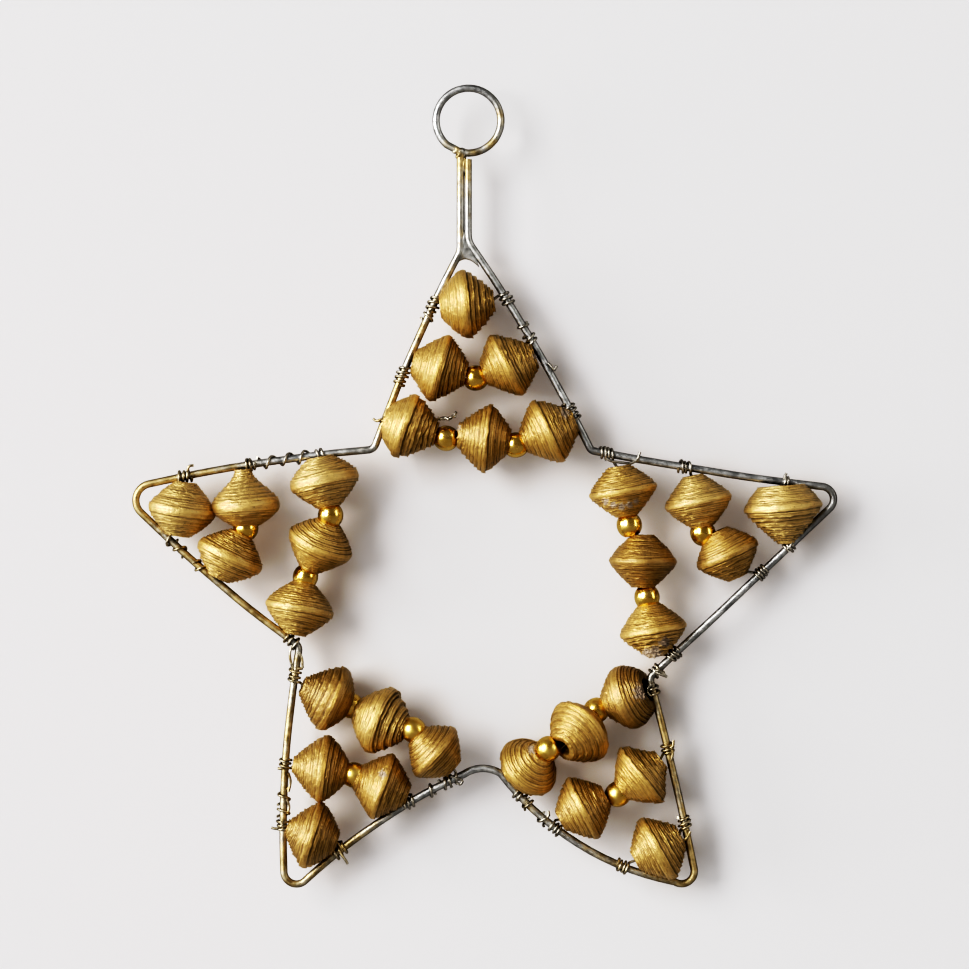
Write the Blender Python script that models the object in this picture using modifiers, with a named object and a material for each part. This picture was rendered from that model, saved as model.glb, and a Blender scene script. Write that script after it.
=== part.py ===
"""Paper bead star ornament, in metres, with +Z up and its front facing -Y.

One steel wire is bent into a hanging ring, a stem of two strands and a five-armed star.
Each arm holds three rows of rolled-paper beads, with small round gold beads between them.
A thin binding wire runs through the rows of each arm and is coiled round the frame beside them.
The origin is the centre of the hanging ring.
"""

from collections import namedtuple
from math import acos, atan2, ceil, cos, pi, radians, sin, tan

import bmesh
import bpy
from mathutils import Vector

# Wire frame
FRAME_WIRE_DIAMETER = 0.0010
RING_RADIUS = 0.0046
RING_OPENING_ANGLE = 42
RING_END_ANGLE = 12
CUT_END_DROP = 0.0011
STEM_LENGTH = 0.0132
STEM_SHIFT = 0.0007
STEM_STAGGER = 0.0008
STRAND_GAP = 0.00006
FOOT_BEND_RADIUS = 0.0007
SHOULDER_BEND_RADIUS = 0.0030

# Braze at the ring's foot and solder where the strands part: half width, half depth, half height
BRAZE_HALF_SIZE = (0.00115, 0.00070, 0.00200)
BRAZE_DROP = 0.0015
SOLDER_HALF_SIZE = (0.00075, 0.00040, 0.00140)
SOLDER_DROP = 0.0009

# Paper beads
BEAD_LENGTH = 0.0070
BEAD_DIAMETER = 0.0096
BEAD_END_DIAMETER = 0.0035
BEAD_BORE = 0.0029
BEAD_SHOULDER_LENGTH = 0.42
BEAD_SHOULDER_RISE = 0.72

# Round gold beads, balls that sit in the mouths of the paper beads' bores
SPACER_DIAMETER = 0.0036
SPACER_BORE = 0.0010

# Binding wire
BINDING_WIRE_DIAMETER = 0.00032
COIL_CLEARANCE = 0.00010
COIL_PITCH = 0.00046
TIGHT_TURNS = 2
LONG_TURNS = 1
END_TURNS = 2.25
TAIL_LENGTH = 0.0009

# Rows
ROWS = 3
SHIFT_STEP = 0.0001
BEAD_CLEARANCE = 0.00005
ROW_GAP = 0.0001
BASE_RISE = 0.0025
TIP_ROOM = 0.0047
END_ROOM = 0.00239
END_REACH = 0.0001

# Sides and steps of the facets, the steps in degrees
RING_STEP = 22
BEND_STEP = 32
BOW_SHARES = (0.25, 0.5, 0.75)
FRAME_WIRE_RESOLUTION = 1
BINDING_WIRE_RESOLUTION = 0
BEAD_SIDES = 9
SPACER_SIDES = 8
SPACER_STEPS = 4
COIL_POINTS = 7
BLOB_SIDES = 8
BLOB_RINGS = 6
WELD_DISTANCE = 0.000001

# The hand-bent star, clockwise from the stem: turn from a regular star in degrees, share of the reach
TIP_SHAPE = [(-2.8, 0.954), (1.5, 1.034), (-0.4, 1.0), (-2.2, 0.963), (-1.3, 1.034)]
INNER_SHAPE = [(0.6, 1.004), (6.8, 1.007), (-0.5, 0.880), (3.5, 1.017), (0.5, 1.0)]
TIP_BEND_RADII = [0.0018, 0.0018, 0.0018, 0.0024]
INNER_BEND_RADII = [0.0009, 0.0011, 0.0047, 0.0012, 0.0013]
SIDE_BOWS = [0.0006, -0.0003, 0.0000, 0.0002, 0.0027, -0.0011, 0.0008, 0.0005, 0.0005, 0.0005]

# A paper bead's pose in its row: lean turns its clockwise end towards the tip and swing brings it
# forward, in degrees
Pose = namedtuple("Pose", "lean swing girth stretch", defaults=(0, 1.0, 1.0))

# Rows of paper beads from the tip inward: shift across and along the arm in steps, then the poses,
# clockwise
ARMS = {
    "top": [
        (1, -11, [Pose(2)]),
        (-1, -16, [Pose(-18, stretch=1.01), Pose(13, stretch=1.01)]),
        (0, -12, [Pose(-20), Pose(-12, swing=2, stretch=1.01), Pose(18, stretch=0.99)]),
    ],
    "right": [
        (-1, 19, [Pose(-13, girth=1.14, stretch=0.95)]),
        (-5, 6, [Pose(-6, stretch=0.98), Pose(26)]),
        (4, 2, [Pose(-5, stretch=1.02), Pose(-6, stretch=1.04), Pose(-7, stretch=1.01)]),
    ],
    "bottom_right": [
        (7, -4, [Pose(-8)]),
        (8, 4, [Pose(1, stretch=0.99), Pose(-9, stretch=0.97)]),
        (-3, -11, [Pose(-23, swing=-6, stretch=0.89), Pose(3, swing=17, stretch=0.89),
                   Pose(12, swing=-30, stretch=0.88)]),
    ],
    "bottom_left": [
        (6, -9, [Pose(12, stretch=0.94)]),
        (1, -11, [Pose(10, stretch=0.97), Pose(21, stretch=0.98)]),
        (-1, -1, [Pose(-12, swing=2, girth=0.92, stretch=0.99), Pose(9, swing=-15, stretch=0.97),
                  Pose(6, swing=8, stretch=0.96)]),
    ],
    "left": [
        (-2, 2, [Pose(6, stretch=0.99)]),
        (-5, 6, [Pose(-11, stretch=0.91), Pose(19, stretch=0.94)]),
        (-2, -1, [Pose(5, swing=-4, stretch=0.98), Pose(-10, swing=12, stretch=0.98),
                  Pose(26, swing=-2, stretch=0.93)]),
    ],
}

# Colour, roughness and metallic of each finish
FINISHES = {
    "gold_painted_paper": ((0.50, 0.33, 0.10), 0.45, 0.55),
    "polished_gold": ((0.80, 0.52, 0.14), 0.15, 1.0),
    "steel_frame_wire": ((0.52, 0.50, 0.45), 0.35, 1.0),
    "steel_binding_wire": ((0.40, 0.39, 0.37), 0.30, 1.0),
}

FRONT = Vector((0, -1, 0))
ARM_ANGLE = 360 / len(ARMS)

Paper = namedtuple("Paper", "name centre axis length diameter")
Gold = namedtuple("Gold", "name centre axis")
Arm = namedtuple("Arm", "name middle across along flanks")


def clear_scene():
    for old in list(bpy.data.objects):
        bpy.data.objects.remove(old, do_unlink=True)


def make_materials():
    materials = {}
    for name, (colour, roughness, metallic) in FINISHES.items():
        material = bpy.data.materials.new(name)
        material.use_nodes = True
        shader = material.node_tree.nodes["Principled BSDF"]
        shader.inputs["Base Color"].default_value = (*colour, 1)
        shader.inputs["Roughness"].default_value = roughness
        shader.inputs["Metallic"].default_value = metallic
        materials[name] = material
    return materials


# Sizes that follow from the ones above

def seat_depth():
    """Distance from a gold bead's centre to the end of a paper bead whose bore it sits in."""
    bore_wall = BEAD_BORE / 2 * cos(pi / BEAD_SIDES)
    reach = SPACER_DIAMETER / 2 + BEAD_CLEARANCE
    return (reach ** 2 - bore_wall ** 2) ** 0.5


def row_length(beads):
    return beads * BEAD_LENGTH + (beads - 1) * 2 * seat_depth()


def inner_reach():
    return (row_length(ROWS) / 2 + END_ROOM) / sin(radians(ARM_ANGLE / 2))


def row_height(row):
    rows_above_base = ROWS - 1 - row
    return BASE_RISE + rows_above_base * (BEAD_DIAMETER + ROW_GAP)


def tip_reach():
    base_distance = inner_reach() * cos(radians(ARM_ANGLE / 2))
    return base_distance + row_height(0) + BEAD_DIAMETER / 2 + TIP_ROOM


# The route of the frame wire

def clockwise_from_up(angle, distance):
    return Vector((sin(radians(angle)), 0, cos(radians(angle)))) * distance


def star_corners():
    """Tips and inner corners in turn, clockwise from the stem's foot."""
    first_turn, first_share = TIP_SHAPE[0]
    stem_foot = Vector((-STEM_SHIFT, 0, -RING_RADIUS - STEM_LENGTH))
    centre = stem_foot - clockwise_from_up(first_turn, tip_reach() * first_share)
    corners = []
    for arm in range(len(ARMS)):
        tip_turn, tip_share = TIP_SHAPE[arm]
        inner_turn, inner_share = INNER_SHAPE[arm]
        tip_angle = arm * ARM_ANGLE + tip_turn
        inner_angle = (arm + 0.5) * ARM_ANGLE + inner_turn
        corners.append(centre + clockwise_from_up(tip_angle, tip_reach() * tip_share))
        corners.append(centre + clockwise_from_up(inner_angle, inner_reach() * inner_share))
    return corners


def bend(before, corner, after, radius):
    """Points of the arc that rounds a corner."""
    arriving = (corner - before).normalized()
    leaving = (after - corner).normalized()
    turn = arriving.angle(leaving)
    reach = radius * tan(turn / 2)
    start = corner - arriving * reach
    inward = (leaving - arriving * leaving.dot(arriving)).normalized()
    centre = start + inward * radius
    steps = max(2, ceil(turn / radians(BEND_STEP)))
    arc = []
    for step in range(steps + 1):
        angle = turn * step / steps
        arc.append(centre + (arriving * sin(angle) - inward * cos(angle)) * radius)
    return arc


def bowed_side(start, end, bow):
    """Points between two bends of a side, pushed outward in the middle by its bow."""
    along = end - start
    outward = Vector((-along.z, 0, along.x)).normalized()
    points = []
    for share in BOW_SHARES:
        points.append(start + along * share + outward * (bow * 4 * share * (1 - share)))
    return points


def frame_route():
    """The wire's centre line from its cut end to the ring's end, and the star's ten sides."""
    strand_offset = (FRAME_WIRE_DIAMETER + STRAND_GAP) / 2
    corners = star_corners()
    stem_foot = corners[0]
    right_strand = stem_foot.x + strand_offset
    left_strand = stem_foot.x - strand_offset
    cut_end = Vector((right_strand, 0, -RING_RADIUS - CUT_END_DROP))
    right_shoulder = Vector((right_strand, 0, stem_foot.z + STEM_STAGGER))
    left_shoulder = Vector((left_strand, 0, stem_foot.z - STEM_STAGGER))
    ring_foot = Vector((left_strand, 0, -(RING_RADIUS ** 2 - left_strand ** 2) ** 0.5))
    first_angle = 180 + RING_OPENING_ANGLE
    last_angle = 540 - RING_END_ANGLE
    ring_steps = ceil((last_angle - first_angle) / RING_STEP)
    ring = []
    for step in range(ring_steps + 1):
        angle = first_angle + (last_angle - first_angle) * step / ring_steps
        ring.append(clockwise_from_up(angle, RING_RADIUS))

    turning = [cut_end, right_shoulder] + corners[1:] + [left_shoulder, ring_foot, ring[0]]
    radii = [SHOULDER_BEND_RADIUS]
    for tip_radius, inner_radius in zip(TIP_BEND_RADII, INNER_BEND_RADII):
        radii += [inner_radius, tip_radius]
    radii += [INNER_BEND_RADII[-1], SHOULDER_BEND_RADIUS, FOOT_BEND_RADIUS]
    bends = []
    for index, radius in enumerate(radii, start=1):
        bends.append(bend(turning[index - 1], turning[index], turning[index + 1], radius))

    route = [cut_end]
    sides = []
    for bow, this_bend, next_bend in zip(SIDE_BOWS, bends, bends[1:]):
        between = bowed_side(this_bend[-1], next_bend[0], bow)
        route += this_bend + between
        sides.append(this_bend + between + next_bend)
    route += bends[-2] + bends[-1] + ring
    return route, sides


def lengths_along(line):
    lengths = [0.0]
    for start, end in zip(line, line[1:]):
        lengths.append(lengths[-1] + (end - start).length)
    return lengths


def point_along(line, distance):
    """The place on a line at a distance from its start, and the line's direction there."""
    lengths = lengths_along(line)
    distance = min(max(distance, 0.0), lengths[-1])
    index = 0
    while index < len(line) - 2 and lengths[index + 1] < distance:
        index += 1
    direction = (line[index + 1] - line[index]).normalized()
    return line[index] + direction * (distance - lengths[index]), direction


def nearest_along(line, point):
    """The distance along a line at which it passes nearest to a point."""
    lengths = lengths_along(line)
    best_distance = 0.0
    smallest_gap = None
    for index in range(len(line) - 1):
        span = line[index + 1] - line[index]
        share = min(max((point - line[index]).dot(span) / span.length_squared, 0.0), 1.0)
        gap = (line[index] + span * share - point).length
        if smallest_gap is None or gap < smallest_gap:
            smallest_gap = gap
            best_distance = lengths[index] + span.length * share
    return best_distance


# The beads' places

def lay_out_arms(sides):
    corners = star_corners()
    arms = []
    for index, name in enumerate(ARMS):
        first_side = list(reversed(sides[index * 2 - 1]))
        second_side = sides[index * 2]
        middle = (corners[index * 2 - 1] + corners[index * 2 + 1]) / 2
        along = (corners[index * 2] - middle).normalized()
        across = Vector((along.z, 0, -along.x))
        arms.append(Arm(name, middle, across, along, (first_side, second_side)))
    return arms


def bead_axis(arm, pose):
    lean = radians(pose.lean)
    swing = radians(pose.swing)
    flat = arm.across * cos(lean) + arm.along * sin(lean)
    return flat * cos(swing) + FRONT * sin(swing)


def place_paper_bead(arm, row, index, pose):
    """A paper bead of a row, whose centre is filled in once its neighbour's place is known."""
    letter = "abc"[index] if row > 0 else ""
    name = f"paper_bead_{arm.name}_{row + 1}{letter}"
    length = BEAD_LENGTH * pose.stretch
    diameter = BEAD_DIAMETER * pose.girth
    return Paper(name, None, bead_axis(arm, pose), length, diameter)


def to_gold_centre(paper, direction):
    """From a paper bead's centre to the gold bead that sits in the mouth of its bore."""
    return paper.axis * ((paper.length / 2 + seat_depth()) * direction)


def lay_out_row(arm, row):
    """The paper and gold beads of a row, walked both ways from its middle."""
    across, along, poses = ARMS[arm.name][row]
    height = row_height(row) + along * SHIFT_STEP
    middle = arm.middle + arm.across * (across * SHIFT_STEP) + arm.along * height
    papers = [place_paper_bead(arm, row, index, pose) for index, pose in enumerate(poses)]
    gold_centres = [None] * (len(poses) - 1)
    centre_index = (len(poses) - 1) // 2
    if len(poses) % 2:
        papers[centre_index] = papers[centre_index]._replace(centre=middle)
    else:
        gold_centres[centre_index] = middle
        first = papers[centre_index]
        papers[centre_index] = first._replace(centre=middle - to_gold_centre(first, 1))
    for index in range(centre_index, len(poses) - 1):
        if gold_centres[index] is None:
            gold_centres[index] = papers[index].centre + to_gold_centre(papers[index], 1)
        following = papers[index + 1]
        centre = gold_centres[index] - to_gold_centre(following, -1)
        papers[index + 1] = following._replace(centre=centre)
    for index in range(centre_index, 0, -1):
        gold_centres[index - 1] = papers[index].centre + to_gold_centre(papers[index], -1)
        earlier = papers[index - 1]
        centre = gold_centres[index - 1] - to_gold_centre(earlier, 1)
        papers[index - 1] = earlier._replace(centre=centre)
    golds = []
    for index, centre in enumerate(gold_centres):
        letter = "ab"[index] if len(gold_centres) > 1 else ""
        name = f"gold_bead_{arm.name}_{row + 1}{letter}"
        axis = (papers[index].axis + papers[index + 1].axis).normalized()
        golds.append(Gold(name, centre, axis))
    return papers, golds


def row_end(paper, direction):
    """Where the binding wire comes out of the last bead of a row."""
    return paper.centre + paper.axis * ((paper.length / 2 + END_REACH) * direction)


def row_thread(papers, golds):
    """The binding wire's way through a row, straight within each gold bead's bore."""
    reach = SPACER_DIAMETER / 2 + END_REACH
    points = [row_end(papers[0], -1)]
    for gold in golds:
        points += [gold.centre - gold.axis * reach, gold.centre + gold.axis * reach]
    points.append(row_end(papers[-1], 1))
    return points


# The route of a binding wire

def inward_at(arm, side, distance):
    """A place on a side of the frame and the direction from there to the arm's middle line."""
    centre, direction = point_along(side, distance)
    inward = Vector((direction.z, 0, -direction.x))
    if inward.dot(arm.across) * (centre - arm.middle).dot(arm.across) > 0:
        inward = -inward
    return centre, inward


def facing_angle(arm, side, distance, point):
    """The angle round a side that faces a point: 0 is inward and a quarter turn is forward."""
    centre, inward = inward_at(arm, side, distance)
    return atan2((point - centre).dot(FRONT), (point - centre).dot(inward))


def coil(arm, side, distances, angles):
    """Points of a helix round a side, from the first distance and angle to the last."""
    radius = (FRAME_WIRE_DIAMETER + BINDING_WIRE_DIAMETER) / 2 + COIL_CLEARANCE
    steps = round((angles[1] - angles[0]) / (2 * pi) * COIL_POINTS)
    points = []
    for step in range(steps + 1):
        share = step / steps
        centre, inward = inward_at(arm, side, distances[0] + (distances[1] - distances[0]) * share)
        angle = angles[0] + (angles[1] - angles[0]) * share
        points.append(centre + (inward * cos(angle) + FRONT * sin(angle)) * radius)
    return points


def end_coil(arm, side, end):
    """A tight coil that starts at a row's end and finishes in a cut tail."""
    start = nearest_along(side, end)
    angle = facing_angle(arm, side, start, end)
    finish = start + END_TURNS * COIL_PITCH
    return with_tail(coil(arm, side, (start, finish), (angle, angle + 2 * pi * END_TURNS)))


def coil_between(arm, side, first_end, second_end):
    """A tight coil beside the first row's end, then long turns to the second row's end."""
    start = nearest_along(side, first_end)
    tight_finish = start + TIGHT_TURNS * COIL_PITCH
    finish = nearest_along(side, second_end)
    angle = facing_angle(arm, side, start, first_end)
    tight_angle = angle + 2 * pi * TIGHT_TURNS
    last_angle = facing_angle(arm, side, finish, second_end) + 2 * pi * (TIGHT_TURNS + LONG_TURNS)
    tight = coil(arm, side, (start, tight_finish), (angle, tight_angle))
    return tight + coil(arm, side, (tight_finish, finish), (tight_angle, last_angle))[1:]


def with_tail(points):
    """Adds the cut tail that leaves the last turn of a coil straight."""
    direction = (points[-1] - points[-2]).normalized()
    return points + [points[-1] + direction * TAIL_LENGTH]


def binding_route(arm, rows):
    first_side, second_side = arm.flanks
    threads = [row_thread(papers, golds) for papers, golds in rows]
    route = list(reversed(end_coil(arm, first_side, threads[0][0])))
    route += threads[0]
    route += coil_between(arm, second_side, threads[0][-1], threads[1][-1])
    route += reversed(threads[1])
    route += coil_between(arm, first_side, threads[1][0], threads[2][0])
    route += threads[2]
    route += end_coil(arm, second_side, threads[2][-1])
    return route


# Objects

def make_wire(name, points, diameter, resolution, material, collection):
    curve = bpy.data.curves.new(name, "CURVE")
    curve.dimensions = "3D"
    curve.bevel_depth = diameter / 2
    curve.bevel_resolution = resolution
    curve.resolution_u = 1
    curve.render_resolution_u = 0
    curve.use_fill_caps = True
    spline = curve.splines.new("POLY")
    spline.points.add(len(points) - 1)
    for spline_point, point in zip(spline.points, points):
        spline_point.co = (*point, 1)
    curve.materials.append(material)
    wire = bpy.data.objects.new(name, curve)
    collection.objects.link(wire)
    return wire


def wire_as_mesh(wire, material, collection):
    """Replaces a wire's curve by its welded mesh, so that a Boolean can join it."""
    name = wire.name
    evaluated = wire.evaluated_get(bpy.context.evaluated_depsgraph_get())
    mesh = bpy.data.meshes.new_from_object(evaluated)
    place = wire.matrix_world.copy()
    bpy.data.objects.remove(wire, do_unlink=True)
    work = bmesh.new()
    work.from_mesh(mesh)
    bmesh.ops.remove_doubles(work, verts=work.verts, dist=WELD_DISTANCE)
    work.to_mesh(mesh)
    work.free()
    mesh.materials.clear()
    mesh.materials.append(material)
    solid = bpy.data.objects.new(name, mesh)
    solid.matrix_world = place
    collection.objects.link(solid)
    return solid


def join_blob(target, name, centre, half_size, collection):
    """Joins a smooth lump of metal to a piece."""
    mesh = bpy.data.meshes.new(name)
    work = bmesh.new()
    bmesh.ops.create_uvsphere(work, u_segments=BLOB_SIDES, v_segments=BLOB_RINGS, radius=1)
    bmesh.ops.scale(work, vec=half_size, verts=work.verts)
    work.to_mesh(mesh)
    work.free()
    blob = bpy.data.objects.new(name, mesh)
    blob.location = centre
    blob.hide_render = True
    blob.display_type = "WIRE"
    collection.objects.link(blob)
    union = target.modifiers.new(name, "BOOLEAN")
    union.operation = "UNION"
    union.object = blob


def make_turned(piece, profile, sides, material, collection):
    """A bead turned about its own axis from a closed profile of radii and heights."""
    mesh = bpy.data.meshes.new(piece.name)
    edges = []
    for index in range(len(profile)):
        edges.append((index, (index + 1) % len(profile)))
    mesh.from_pydata([(radius, 0, height) for radius, height in profile], edges, [])
    mesh.materials.append(material)
    bead = bpy.data.objects.new(piece.name, mesh)
    bead.location = piece.centre
    bead.rotation_mode = "QUATERNION"
    bead.rotation_quaternion = piece.axis.to_track_quat("Z", "Y")
    turning = bead.modifiers.new("turning", "SCREW")
    turning.axis = "Z"
    turning.steps = sides
    turning.render_steps = sides
    turning.use_merge_vertices = True
    turning.merge_threshold = WELD_DISTANCE
    turning.use_smooth_shade = True
    collection.objects.link(bead)
    return bead


def paper_profile(piece):
    half = piece.length / 2
    end = BEAD_END_DIAMETER / 2
    crown = piece.diameter / 2
    shoulder_height = half * BEAD_SHOULDER_LENGTH
    shoulder = end + (crown - end) * BEAD_SHOULDER_RISE
    bore = BEAD_BORE / 2
    upper = [(end, half), (shoulder, shoulder_height), (crown, 0)]
    lower = [(shoulder, -shoulder_height), (end, -half), (bore, -half), (bore, half)]
    return upper + lower


def gold_profile():
    """Half a ball's outline from one mouth of its bore to the other."""
    radius = SPACER_DIAMETER / 2
    bore = SPACER_BORE / 2
    mouth_angle = acos(bore / radius)
    profile = []
    for step in range(SPACER_STEPS + 1):
        angle = mouth_angle * (1 - 2 * step / SPACER_STEPS)
        profile.append((radius * cos(angle), radius * sin(angle)))
    return profile


def make_frame(route, material, collection, joining):
    resolution = FRAME_WIRE_RESOLUTION
    wire = make_wire("star_frame_wire", route, FRAME_WIRE_DIAMETER, resolution, material, collection)
    frame = wire_as_mesh(wire, material, collection)
    stem_foot = star_corners()[0]
    braze_centre = Vector((stem_foot.x, 0, -RING_RADIUS - BRAZE_DROP))
    solder_centre = stem_foot - Vector((0, 0, SOLDER_DROP))
    join_blob(frame, "braze", braze_centre, BRAZE_HALF_SIZE, joining)
    join_blob(frame, "solder", solder_centre, SOLDER_HALF_SIZE, joining)


def main():
    clear_scene()
    materials = make_materials()
    collection = bpy.data.collections.new("paper_bead_star_ornament")
    joining = bpy.data.collections.new("joined_lumps")
    bpy.context.scene.collection.children.link(collection)
    bpy.context.scene.collection.children.link(joining)
    route, sides = frame_route()
    make_frame(route, materials["steel_frame_wire"], collection, joining)
    for arm in lay_out_arms(sides):
        rows = [lay_out_row(arm, row) for row in range(ROWS)]
        for papers, golds in rows:
            for piece in papers:
                profile = paper_profile(piece)
                make_turned(piece, profile, BEAD_SIDES, materials["gold_painted_paper"], collection)
            for piece in golds:
                make_turned(piece, gold_profile(), SPACER_SIDES, materials["polished_gold"], collection)
        name = f"binding_wire_{arm.name}"
        points = binding_route(arm, rows)
        material = materials["steel_binding_wire"]
        make_wire(name, points, BINDING_WIRE_DIAMETER, BINDING_WIRE_RESOLUTION, material, collection)


main()
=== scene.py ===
from math import ceil, cos, pi, radians, sin, tan

import bpy
import numpy as np
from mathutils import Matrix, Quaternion, Vector, noise
from mathutils.geometry import interpolate_bezier


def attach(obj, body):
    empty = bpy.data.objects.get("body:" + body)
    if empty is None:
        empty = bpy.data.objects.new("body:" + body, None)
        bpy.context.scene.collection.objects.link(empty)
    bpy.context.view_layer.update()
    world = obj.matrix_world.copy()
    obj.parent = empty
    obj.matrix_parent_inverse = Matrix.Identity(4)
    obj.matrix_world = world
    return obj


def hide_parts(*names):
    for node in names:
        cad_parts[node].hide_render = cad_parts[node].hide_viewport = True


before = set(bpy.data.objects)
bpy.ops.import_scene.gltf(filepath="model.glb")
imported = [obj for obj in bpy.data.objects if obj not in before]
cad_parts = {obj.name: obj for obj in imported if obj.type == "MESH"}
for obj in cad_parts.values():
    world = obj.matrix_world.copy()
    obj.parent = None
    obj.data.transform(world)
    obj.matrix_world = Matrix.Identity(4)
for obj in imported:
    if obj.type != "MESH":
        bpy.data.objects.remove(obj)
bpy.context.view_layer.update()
mm = 0.001
front = Vector((0, -1, 0))
starMiddle = Vector((1.9, 0, -67)) * mm
crease = radians(50)    # a wire's cut ends stay sharp, its sides are smooth


# helpers for modelling

def clearSelection():
    bpy.ops.object.select_all(action="DESELECT")


def pick(piece):
    clearSelection()
    piece.select_set(True)
    bpy.context.view_layer.objects.active = piece


def startEditing():
    bpy.ops.object.mode_set(mode="EDIT")
    bpy.ops.mesh.select_all(action="SELECT")


def stopEditing():
    bpy.ops.object.mode_set(mode="OBJECT")


def putInScene(name, data):
    piece = bpy.data.objects.new(name, data)
    bpy.context.scene.collection.objects.link(piece)
    return piece


def copyBlank(blank, name, points):
    # the blank once more, with its points moved to the ones given
    mesh = blank.data.copy()
    mesh.vertices.foreach_set("co", points.astype(np.float32).ravel())
    mesh.update()
    return putInScene(name, mesh)


def dress(piece, node, material):
    piece.data.materials.clear()
    piece.data.materials.append(material)
    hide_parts(node)
    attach(piece, "root")


def store(piece, name, values):
    # keeps a number or a vector for each point, which the finishes read
    values = np.asarray(values, np.float32)
    kind, field = ("FLOAT", "value") if values.ndim == 1 else ("FLOAT_VECTOR", "vector")
    layer = piece.data.attributes.new(name, kind, "POINT")
    layer.data.foreach_set(field, values.ravel())


def closeUp(gap):
    # in edit mode: joins the points that are no more than the gap apart and turns the faces out
    bpy.ops.mesh.select_all(action="SELECT")
    bpy.ops.mesh.remove_doubles(threshold=gap * mm)
    bpy.ops.mesh.normals_make_consistent(inside=False)


def turnRings(name, around, rings):
    # a closed turned solid, drawn ring by ring from (radius, height) pairs in mm
    clearSelection()
    radius, height = rings[0]
    bpy.ops.mesh.primitive_circle_add(vertices=around, radius=radius * mm, location=(0, 0, 0))
    solid = bpy.context.object
    solid.name = name
    startEditing()
    for nextRadius, nextHeight in rings[1:] + rings[:1]:
        bpy.ops.mesh.extrude_region_move(
            TRANSFORM_OT_translate={"value": (0, 0, (nextHeight - height) * mm)})
        share = nextRadius / radius
        bpy.ops.transform.resize(value=(share, share, 1), center_override=(0, 0, 0))
        radius, height = nextRadius, nextHeight
    closeUp(0.00001)
    bpy.ops.mesh.faces_shade_smooth()
    stopEditing()
    return solid


def flat(place):
    return Vector((place[0], 0, place[1])) * mm


def meshPoints(mesh):
    points = np.empty(len(mesh.vertices) * 3, np.float32)
    mesh.vertices.foreach_get("co", points)
    return points.reshape(-1, 3).astype(float)


def drawWire(name, lines, sizes):
    # one round wire through each line of points, made a mesh
    clearSelection()
    curve = bpy.data.curves.new(name, "CURVE")
    curve.dimensions = "3D"
    curve.bevel_depth = sizes["thickness"] * mm / 2
    curve.bevel_resolution = sizes["roundness"]
    curve.use_fill_caps = True
    for line in lines:
        spline = curve.splines.new("POLY")
        spline.points.add(len(line) - 1)
        for point, place in zip(spline.points, line):
            point.co = (*place, 1)
    pick(putInScene(name, curve))
    bpy.ops.object.convert(target="MESH")
    wire = bpy.context.object
    wire.name = name
    startEditing()
    closeUp(0.001)
    stopEditing()
    bpy.ops.object.shade_smooth_by_angle(angle=crease)
    return wire


# helpers for materials

def colour(red, green, blue):
    # the colour as a paint chart gives it, from 0 to 255
    channels = []
    for value in (red, green, blue):
        share = value / 255
        channels.append(share / 12.92 if share <= 0.04045 else ((share + 0.055) / 1.055) ** 2.4)
    return (*channels, 1)


class Reading:
    # a socket whose sums, products and powers add Math nodes
    def __init__(self, recipe, socket):
        self.recipe = recipe
        self.socket = socket

    def math(self, operation, first, second, clamp=False):
        settings = {"operation": operation, "use_clamp": clamp}
        return self.recipe.add("ShaderNodeMath", settings, {0: first, 1: second})

    def __add__(self, other):
        return self.math("ADD", self, other)

    def __radd__(self, other):
        return self.math("ADD", other, self)

    def __sub__(self, other):
        return self.math("SUBTRACT", self, other)

    def __rsub__(self, other):
        return self.math("SUBTRACT", other, self)

    def __mul__(self, other):
        return self.math("MULTIPLY", self, other)

    def __rmul__(self, other):
        return self.math("MULTIPLY", other, self)

    def __pow__(self, other):
        return self.math("POWER", self, other)

    def clamped(self):
        return self.math("ADD", self, 0.0, clamp=True)


class Recipe:
    # the nodes of one material, or of the room's light
    def __init__(self, owner):
        self.owner = owner
        owner.use_nodes = True
        self.tree = owner.node_tree
        self.tree.nodes.clear()

    def add(self, kind, settings=None, inputs=None, output=0):
        node = self.tree.nodes.new(kind)
        for key, value in (settings or {}).items():
            setattr(node, key, value)
        for key, value in (inputs or {}).items():
            if isinstance(value, Reading):
                self.tree.links.new(value.socket, node.inputs[key])
            else:
                node.inputs[key].default_value = value
        return Reading(self, node.outputs[output] if len(node.outputs) else None)

    def place(self):
        return self.add("ShaderNodeTexCoord", output="Object")

    def attribute(self, name, output="Fac"):
        return self.add("ShaderNodeAttribute", {"attribute_name": name}, output=output)

    def noise(self, place, scale, detail, roughness, distortion=0.0):
        # scale: cells in a metre
        return self.add("ShaderNodeTexNoise", None, {
            "Vector": place, "Scale": scale, "Detail": detail, "Roughness": roughness,
            "Distortion": distortion})

    def spread(self, value, low, high):
        # stretches a reading so that low becomes 0 and high becomes 1
        return self.add("ShaderNodeMapRange", None, {
            "Value": value, "From Min": low, "From Max": high})

    def patches(self, pattern, low, high):
        # the noise of that pattern, stretched into patches
        return self.spread(self.noise(*pattern), low, high)

    def blend(self, share, first, second):
        return self.add("ShaderNodeMix", {"data_type": "RGBA"}, {
            0: share, 6: first, 7: second}, output=2)

    def glaze(self, tone, *coats):
        # lays one colour after another over the tone, each by its own share
        for share, over in coats:
            tone = self.blend(share, tone, colour(*over))
        return tone

    def bump(self, strength, distance, height):
        return self.add("ShaderNodeBump", None, {
            "Strength": strength, "Distance": distance, "Height": height}, "Normal")

    def between(self, share, first, second):
        return self.add("ShaderNodeMixShader", None, {0: share, 1: first, 2: second})

    def finish(self, shader, kind="ShaderNodeOutputMaterial"):
        self.add(kind, None, {"Surface": shader})
        return self.owner

    def principled(self, inputs):
        return self.finish(self.add("ShaderNodeBsdfPrincipled", None, inputs))


# the finishes

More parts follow.
